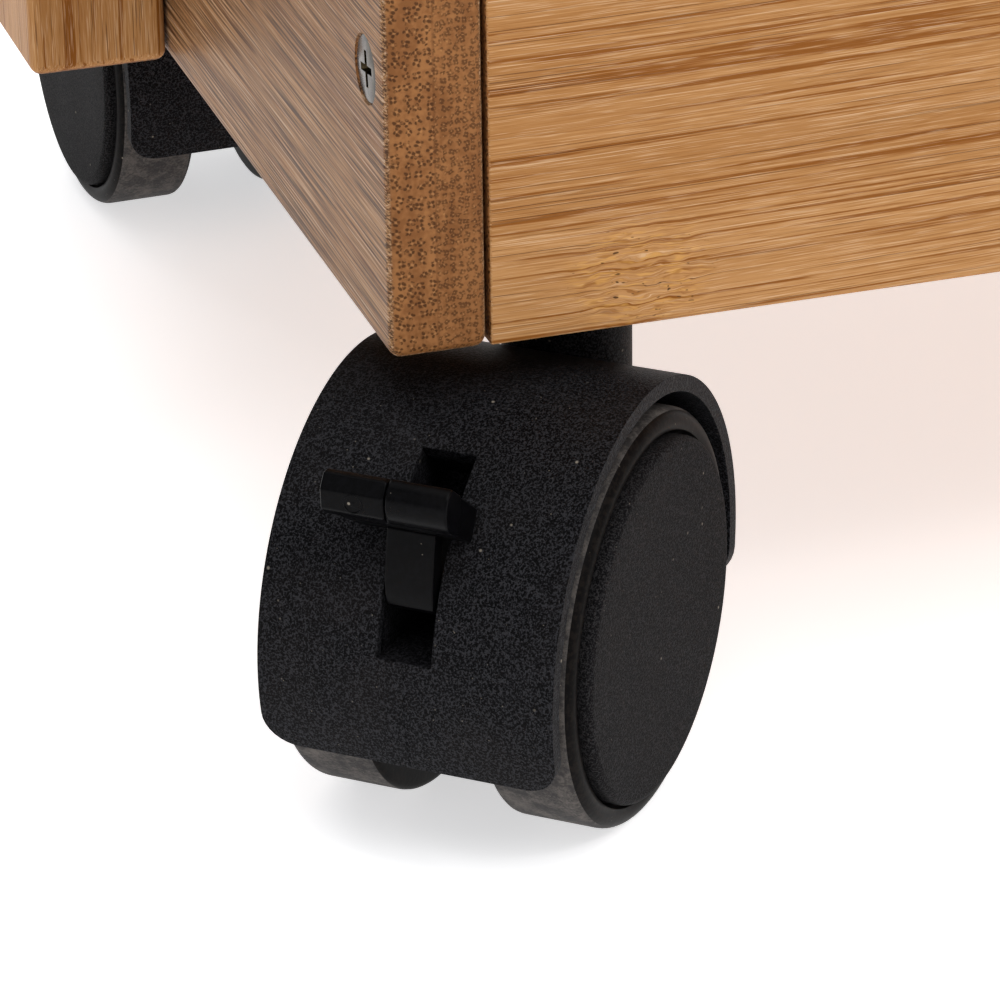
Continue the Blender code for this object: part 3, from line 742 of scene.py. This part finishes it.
hood = {
    "radius": 28.85 * mm,
    "wall": 2.0 * mm,
    "halfWidth": 18.3 * mm,
    "corner": 4.3 * mm,
    "front": -19.5,
    "rear": 196.0,
    "rim": 0.72 * mm,
    "slotHalf": 3.35 * mm,
    "slotLow": 9.0,
    "slotHigh": 59.6,
    "slotRim": 0.14 * mm,
    "pocketDepth": 9.5 * mm,
    "pocketTurn": 19.8 * mm,
    "web": 6.0 * mm,
    "neckRadius": 7.8 * mm,
    "neckRim": 0.5 * mm,
    "boreRadius": 4.3 * mm,
    "boreDepth": 4.0 * mm,
    "middleColumn": 8.5 * mm,
    "webInset": 1.2,
    "seam": 0.12 * mm,
    "seamSunk": 0.3 * mm,
    "seamProud": 0.07 * mm,
}
aroundAxle = Vector((0, -1, 0))


def casterPlace(caster):
    # from the axle's frame to the cart's
    stem = middle(f"{caster}_caster_stem")
    axle = middle(f"{caster}_axle")
    heading = math.atan2(axle.y - stem.y, axle.x - stem.x)
    return Matrix.Translation(axle) @ Matrix.Rotation(heading, 4, "Z"), (axle.xy - stem.xy).length


def onArc(radius, degrees, y=0.0):
    angle = math.radians(degrees)
    return Vector((radius * math.cos(angle), y, radius * math.sin(angle)))


def hoodShell(locks):
    bm = bmesh.new()
    radius, corner, wide = hood["radius"], hood["corner"], hood["halfWidth"]
    flat = wide - corner
    columns = [hood["slotHalf"], hood["middleColumn"], flat, wide]
    columns = [-y for y in reversed(columns)] + columns
    row = [bm.verts.new(onArc(radius, hood["front"], y)) for y in columns]
    edges = [bm.edges.new(pair) for pair in zip(row, row[1:])]
    cornerTurn = math.degrees(corner / radius)
    cornerRows = 8
    stages = [
        (hood["front"] + cornerTurn, cornerRows),
        (hood["slotLow"], 9),
        (hood["slotHigh"], 22),
        (hood["rear"] - cornerTurn, 56),
        (hood["rear"], cornerRows),
    ]
    at = hood["front"]
    last = row + edges
    for until, steps in stages:
        last = bmesh.ops.spin(
            bm, geom=last, cent=(0, 0, 0), axis=aroundAxle, angle=math.radians(until - at), steps=steps,
        )["geom_last"]
        at = until
    for vert in bm.verts:
        degrees = math.degrees(math.atan2(vert.co.z, vert.co.x))
        degrees = degrees + 360 if degrees < -90 else degrees
        fromFront = math.radians(degrees - hood["front"]) * radius
        fromRear = math.radians(hood["rear"] - degrees) * radius
        distance = max(0.0, min(fromFront, fromRear))
        if distance < corner * 0.999:
            swing = distance / corner * math.pi / 2
            moved = corner * (1 - math.cos(swing))
            back = math.degrees((moved - distance) / radius)
            degrees += back if fromFront < fromRear else -back
            y = vert.co.y
            if abs(y) > flat + 0.01 * mm:
                y = math.copysign(flat + corner * math.sin(swing), y)
            vert.co = onArc(radius, degrees, y)
    if locks:
        gone = []
        for face in bm.faces:
            spot = face.calc_center_median()
            degrees = math.degrees(math.atan2(spot.z, spot.x))
            if abs(spot.y) < hood["slotHalf"] and hood["slotLow"] < degrees < hood["slotHigh"]:
                gone.append(face)
        bmesh.ops.delete(bm, geom=gone, context="FACES")
    bmesh.ops.remove_doubles(bm, verts=bm.verts, dist=0.001 * mm)
    bm.normal_update()
    for face in bm.faces:
        spot = face.calc_center_median()
        if face.normal.dot(Vector((spot.x, 0, spot.z))) < 0:
            face.normal_flip()
    bm.normal_update()
    bmesh.ops.solidify(bm, geom=list(bm.faces), thickness=hood["wall"])
    bmesh.ops.recalc_face_normals(bm, faces=bm.faces)
    bm.normal_update()
    slotEdges = []
    rimEdges = []
    for edge in sharpEdges(bm, 50.0):
        spot = (edge.verts[0].co + edge.verts[1].co) / 2
        degrees = math.degrees(math.atan2(spot.z, spot.x))
        inSlot = abs(spot.y) < hood["slotHalf"] + 0.1 * mm
        inSlot = inSlot and hood["slotLow"] - 1 < degrees < hood["slotHigh"] + 1
        (slotEdges if inSlot else rimEdges).append(edge)
    roundEdges(bm, rimEdges, hood["rim"], 3)
    if slotEdges:
        roundEdges(bm, [e for e in slotEdges if e.is_valid], hood["slotRim"], 2)
    return bm


def prism(bm, outline, low, high):
    # a flat outline in X and Z, extruded along the axle
    face = bm.faces.new([bm.verts.new((x, low, z)) for x, z in outline])
    grown = bmesh.ops.extrude_face_region(bm, geom=[face], use_keep_orig=True)["geom"]
    bmesh.ops.translate(bm, vec=(0, high - low, 0), verts=only(grown, bmesh.types.BMVert))


def arcPoints(radius, start, end, steps):
    turns = [start + (end - start) * i / steps for i in range(steps + 1)]
    return [(onArc(radius, t).x, onArc(radius, t).z) for t in turns]


def hoodWeb(bm, locks):
    radius = hood["radius"] - hood["wall"] / 2
    start, end = hood["front"] + hood["webInset"], hood["rear"] - hood["webInset"]
    whole = arcPoints(radius, start, end, 60)
    web, half = hood["web"], hood["slotHalf"]
    if not locks:
        prism(bm, whole, -web, web)
        return
    prism(bm, whole, -web, -half)
    prism(bm, whole, half, web)
    depth = hood["pocketDepth"]
    low = onArc(hood["radius"], hood["slotLow"]).z
    notched = arcPoints(radius, hood["slotHigh"], end, 40)
    notched += arcPoints(radius, start, hood["slotLow"], 8)
    notched += [(depth, low), (depth, hood["pocketTurn"])]
    prism(bm, notched, -half, half)


def hoodNeck(bm, trail, top):
    # stands on the hood's back, round the stem
    radius = hood["neckRadius"]
    sunk = hood["radius"] - hood["wall"] / 2
    ring = bmesh.ops.create_circle(
        bm, segments=48, radius=radius, matrix=Matrix.Translation((-trail, 0, top)),
    )["verts"]
    rim = list({e for v in ring for e in v.link_edges})
    inner = bmesh.ops.extrude_edge_only(bm, edges=rim)["geom"]
    axis = Vector((-trail, 0, 0))
    for vert in only(inner, bmesh.types.BMVert):
        spoke = Vector((vert.co.x + trail, vert.co.y, 0)).normalized()
        vert.co = axis + spoke * hood["boreRadius"] + Vector((0, 0, top))
    well = bmesh.ops.extrude_edge_only(bm, edges=only(inner, bmesh.types.BMEdge))["geom"]
    for vert in only(well, bmesh.types.BMVert):
        vert.co.z -= hood["boreDepth"]
    bmesh.ops.holes_fill(bm, edges=only(well, bmesh.types.BMEdge), sides=0)
    outer = bmesh.ops.extrude_edge_only(bm, edges=rim)["geom"]
    for vert in only(outer, bmesh.types.BMVert):
        vert.co.z = math.sqrt(max(sunk**2 - vert.co.x**2, 0.0))
    bmesh.ops.holes_fill(bm, edges=only(outer, bmesh.types.BMEdge), sides=0)
    rimEdges = [e for e in rim if e.is_valid]
    roundEdges(bm, rimEdges, hood["neckRim"], 3)


def hoodSeam(bm, until):
    # the raised line that the mould leaves down the middle
    radius, half = hood["radius"], hood["seam"]
    low = radius - hood["seamSunk"]
    outline = [(low, -half), (radius + hood["seamProud"], 0.0), (low, half)]
    verts = [bm.verts.new(onArc(r, hood["front"] + 1.0, y)) for r, y in outline]
    face = bm.faces.new(verts)
    bmesh.ops.spin(
        bm, geom=[face, *face.edges, *verts], cent=(0, 0, 0), axis=aroundAxle,
        angle=math.radians(until - hood["front"] - 1.0), steps=14,
    )


def addHood(caster, locks):
    place, trail = casterPlace(caster)
    node = f"{caster}_caster_hood"
    bm = hoodShell(locks)
    extra = bmesh.new()
    hoodWeb(extra, locks)
    hoodNeck(extra, trail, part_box(node)[1].z - middle(f"{caster}_axle").z)
    hoodSeam(extra, hood["slotLow"] - 0.6 if locks else 60.0)
    bmesh.ops.recalc_face_normals(extra, faces=extra.faces)
    joinInto(bm, extra)
    bmesh.ops.transform(bm, matrix=place, verts=bm.verts)
    addPiece(f"{caster}Hood", bm, "hood", f"{caster}_caster", [node], 38.0, True)


wheel = {
    "capRadius": 21.9 * mm,
    "capFace": 20.1 * mm,
    "capRound": 1.0 * mm,
    "rimEdge": 7.2 * mm,
    "rimInner": 18.5 * mm,
    "discInner": 17.3 * mm,
    "hubRadius": 6.5 * mm,
    "hubEnd": 6.3 * mm,
    "bore": 3.3 * mm,
    "dish": [(0.0, 0.12 * mm), (9 * mm, 0.10 * mm), (17 * mm, 0.04 * mm)],  # radius, depth
    "boreLip": 0.3 * mm,
    "steps": 128,
}
treadRing = {
    "radius": 25.0 * mm,
    "inner": 22.2 * mm,
    "face": 18.8 * mm,
    "outerRound": 1.9 * mm,
    "innerEdge": 7.2 * mm,
    "innerRound": 0.9 * mm,
    "lip": [(0.0, 0.55 * mm), (0.25 * mm, 0.18 * mm)],  # outward, depth
    "sideFrom": 0.55,
}


def roundCorner(centre, radius, start, end, steps):
    # points of part of a circle, as distances from the axle and along it
    turns = [math.radians(start + (end - start) * i / steps) for i in range(steps + 1)]
    return [(centre[0] + radius * math.cos(t), centre[1] + radius * math.sin(t)) for t in turns]


def wheelProfile():
    w = wheel
    cap = w["capFace"]
    turn = w["capRound"]
    points = [(radius, cap - depth) for radius, depth in w["dish"]]
    points += roundCorner((w["capRadius"] - turn, cap - turn), turn, 90, 0, 6)
    points += [(w["capRadius"], w["rimEdge"]), (w["rimInner"], w["rimEdge"])]
    points += [(w["rimInner"], w["discInner"]), (w["hubRadius"], w["discInner"])]
    points += [(w["hubRadius"], w["hubEnd"]), (w["bore"], w["hubEnd"])]
    boreEnd = w["discInner"] + w["boreLip"]
    points += [(w["bore"], boreEnd), (0.0, boreEnd)]
    return points


def treadProfile():
    t = treadRing
    outer, inner = t["outerRound"], t["innerRound"]
    points = [(t["inner"] + outward, t["face"] - depth) for outward, depth in t["lip"]]
    points += roundCorner((t["radius"] - outer, t["face"] - outer), outer, 95, 0, 8)
    points += roundCorner((t["radius"] - inner, t["innerEdge"] + inner), inner, 0, -90, 4)
    points += [(t["inner"], t["innerEdge"])]
    return points


def turnedRing(profile, side, closed, steps=wheel["steps"]):
    bm = bmesh.new()
    verts = [bm.verts.new((radius, side * along, 0.0)) for radius, along in profile]
    edges = [bm.edges.new(pair) for pair in zip(verts, verts[1:])]
    if closed:
        edges.append(bm.edges.new((verts[-1], verts[0])))
    bmesh.ops.spin(
        bm, geom=verts + edges, cent=(0, 0, 0), axis=(0, 1, 0), angle=2 * math.pi,
        steps=steps, use_merge=True,
    )
    bmesh.ops.remove_doubles(bm, verts=bm.verts, dist=0.001 * mm)
    return bm


def addWheels(caster):
    place = casterPlace(caster)[0]
    for number, side in ((1, -1), (2, 1)):
        body = f"{caster}_wheel_{number}"
        for kind, profile, finish, slot, closed in (
            ("wheel", wheelProfile(), "wheel", "wheel_plastic", False),
            ("tread", treadProfile(), "tread", "tread_rubber", True),
        ):
            bm = turnedRing(profile, side, closed)
            bmesh.ops.recalc_face_normals(bm, faces=bm.faces)
            for face in bm.faces:
                if kind == "tread" and abs(face.normal.y) > treadRing["sideFrom"]:
                    face.material_index = 1
            bmesh.ops.transform(bm, matrix=place, verts=bm.verts)
            name = f"{caster}{kind.capitalize()}.{number}"
            replaced = [f"{caster}_{kind}_{number}"]
            second = "ring" if kind == "tread" else None
            addPiece(name, bm, finish, body, replaced, 35.0, second=second)


lever = {
    "pivot": (15.51 * mm, 11.99 * mm),
    "tongueHalf": 3.0 * mm,
    "barLeft": -9.2 * mm,
    "barRight": 6.3 * mm,
    "notch": -1.3 * mm,
    "notchHalf": 0.06 * mm,
    "coreHalf": 0.3 * mm,
    "plateLeft": -7.8 * mm,
    "plateRight": 6.2 * mm,
    "rounding": 0.3 * mm,
    "markAlong": -5.1 * mm,
    "markPlace": (14.38 * mm, 12.25 * mm),
    "markRadius": 1.1 * mm,
    "markBead": 0.09 * mm,
    "markSunk": 0.2 * mm,
}


def leverOutlines():
    # around the pivot, forward and up, in millimetres
    barrel = roundCorner((0.0, 0.0), 3.2, 75, 200, 8)
    tongue = [(0.0, -3.2), (7.5, -2.8), (9.6, -2.4), (10.8, -1.4), (11.2, -0.2), (11.3, 1.5)]
    tongue += [(10.9, 4.0), (10.2, 8.0), (7.7, 8.0), (8.3, 5.0), (8.5, 1.8), (7.4, 0.6), (2.5, 2.2)]
    tongue += barrel + [(-3.0, -5.6), (-1.0, -5.8)]
    plate = [(7.4, 6.2), (12.6, 9.5), (13.4, 11.5), (12.6, 14.0), (11.7, 14.5), (5.4, 9.6)]
    facet = [(10.7, 8.9), (13.3, 10.0), (14.35, 11.0), (14.45, 13.5), (13.3, 15.15), (12.2, 15.1)]
    facet += [(10.1, 13.4)]
    nose = [(10.7, 8.9), (13.2, 9.95)]
    for turn in [math.radians(-48 + 138 * i / 9) for i in range(10)]:
        nose.append((12.45 + 2.05 * math.cos(turn), 12.6 + 2.65 * math.sin(turn)))
    nose += [(10.1, 13.4)]
    core = facet[:2] + [(14.0, 11.4), (14.0, 13.2), (12.8, 14.8)] + facet[-2:]
    return tongue, plate, facet, nose, core


def leverMark(bm, pivotX, pivotZ):
    # the round mark that an ejector pin left on the bar's flat part
    radius = lever["markRadius"]
    bead, sunk = lever["markBead"], lever["markSunk"]
    profile = [(0.0, 0.06 * mm), (0.28 * radius, 0.05 * mm), (0.42 * radius, -0.02 * mm)]
    profile += [(radius - bead * 1.6, -0.02 * mm)]
    profile += roundCorner((radius, 0.0), bead, 150, 0, 5)
    profile += [(radius + bead, -sunk), (0.0, -sunk)]
    mark = turnedRing(profile, 1, False, steps=40)
    markX, markZ = lever["markPlace"]
    place = Matrix.Translation((pivotX + markX, lever["markAlong"], pivotZ + markZ))
    bmesh.ops.transform(mark, matrix=place @ Matrix.Rotation(-math.pi / 2, 4, "Z"), verts=mark.verts)
    joinInto(bm, mark)


def addLever(caster):
    place = casterPlace(caster)[0]
    tongue, plate, facet, nose, core = leverOutlines()
    pivotX, pivotZ = lever["pivot"]
    bm = bmesh.new()
    notch, gap, lap = lever["notch"], lever["notchHalf"], lever["coreHalf"]
    for outline, low, high in (
        (tongue, -lever["tongueHalf"], lever["tongueHalf"]),
        (plate, lever["plateLeft"], lever["plateRight"]),
        (facet, lever["barLeft"], notch - gap),
        (nose, notch + gap, lever["barRight"]),
        (core, notch - lap, notch + lap),
    ):
        part = bmesh.new()
        prism(part, [(pivotX + x * mm, pivotZ + z * mm) for x, z in outline], low, high)
        bmesh.ops.recalc_face_normals(part, faces=part.faces)
        roundEdges(part, sharpEdges(part, 35.0), lever["rounding"], 3)
        joinInto(bm, part)
    leverMark(bm, pivotX, pivotZ)
    bmesh.ops.transform(bm, matrix=place, verts=bm.verts)
    node = f"{caster}_brake_lever"
    addPiece(f"{caster}BrakeLever", bm, "lever", f"{caster}_brake", [node], 30.0, True)


casters = {"front_left": True, "back_left": False, "back_right": True, "front_right": False}
for caster, locks in casters.items():
    addHood(caster, locks)
    addWheels(caster)
    metalNodes = [f"{caster}_axle", f"{caster}_caster_stem"]
    if locks:
        addLever(caster)
        metalNodes.append(f"{caster}_brake_pin")
    for node in metalNodes:
        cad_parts[node].data.materials.clear()
        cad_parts[node].data.materials.append(finishes["zinc"])
print("casters made")


stage = {
    "radius": 90.0,
    "floor": shade(250, 250, 250),
    "floorCloud": shade(246, 246, 247),
    "glowNear": shade(202, 202, 203),
    "glowFar": shade(252, 252, 252),
    "nearReach": 447.2136,
    "farReach": 2000.0,
    "sky": (0.93, 0.93, 0.95),
    "skyStrength": 0.25,
}


def addStage():
    bm = bmesh.new()
    bmesh.ops.create_circle(bm, cap_ends=True, segments=96, radius=stage["radius"])
    mesh = bpy.data.meshes.new("floor")
    bm.to_mesh(mesh)
    bm.free()
    floor = bpy.data.objects.new("floor", mesh)
    floor.location.z = cadBox[0].z - 0.05 * mm
    bpy.context.scene.collection.objects.link(floor)
    f = Finish("paleFloor")
    x, y = f.millimetres()[:2]
    cloud = f.noise(f.vector(x / 400, y / 400, 0.0), detail=2.0)
    color = f.mix(cloud, stage["floor"], stage["floorCloud"])
    far = f.ramp(x * x + y * y, stage["nearReach"]**2, stage["farReach"]**2)
    glow = f.mix(far, stage["glowNear"], stage["glowFar"])
    mesh.materials.append(f.done(color=color, roughness=0.8, ior=1.1, glow=glow, glowStrength=1.0))
    world = bpy.data.worlds.new("studio")
    bpy.context.scene.world = world
    world.use_nodes = True
    background = world.node_tree.nodes["Background"]
    background.inputs["Color"].default_value = (*stage["sky"], 1.0)
    background.inputs["Strength"].default_value = stage["skyStrength"]


lights = {
    "key": {"place": (1.5, -1.9, 1.5), "size": 1.5, "watts": 14.0},
    "spark": {"place": (0.8, -1.7, 1.9), "size": 0.3, "watts": 5.0},
    "fill": {"place": (-1.9, -0.9, 1.2), "size": 1.4, "watts": 4.0},
    "rear": {"place": (-0.4, 2.2, 1.7), "size": 1.8, "watts": 22.0},
}
overhead = {"place": (0.35, -0.5, 2.6), "strength": 2.1, "spread": 75.0}


def addLamp(name, data, place):
    lamp = bpy.data.objects.new(name, data)
    lamp.location = place
    lamp.rotation_euler = (Vector((0, 0, 0.25)) - lamp.location).to_track_quat("-Z", "Y").to_euler()
    bpy.context.scene.collection.objects.link(lamp)


def addLights():
    for name, facts in lights.items():
        data = bpy.data.lights.new(name, "AREA")
        data.shape = "SQUARE"
        data.size = facts["size"]
        data.energy = facts["watts"]
        addLamp(name, data, facts["place"])
    data = bpy.data.lights.new("overhead", "SUN")
    data.energy = overhead["strength"]
    data.angle = math.radians(overhead["spread"])
    addLamp("overhead", data, overhead["place"])


view = {
    "place": (-0.3683, -0.6376, 0.3030),
    "tilt": 64.077,
    "turn": -17.327,
    "roll": -0.896,
    "lens": 187.53,
}


def addCamera():
    data = bpy.data.cameras.new("camera")
    data.lens = view["lens"]
    data.sensor_width = 36.0
    data.clip_start = 0.05
    data.clip_end = 60.0
    camera = bpy.data.objects.new("camera", data)
    turn = Matrix.Rotation(math.radians(view["turn"]), 4, "Z")
    tilt = Matrix.Rotation(math.radians(view["tilt"]), 4, "X")
    roll = Matrix.Rotation(math.radians(view["roll"]), 4, "Z")
    camera.matrix_world = Matrix.Translation(view["place"]) @ turn @ tilt @ roll
    bpy.context.scene.collection.objects.link(camera)
    bpy.context.scene.camera = camera


addStage()
addLights()
addCamera()
bpy.context.scene.view_settings.view_transform = "Standard"
print("stage, lights and camera made")
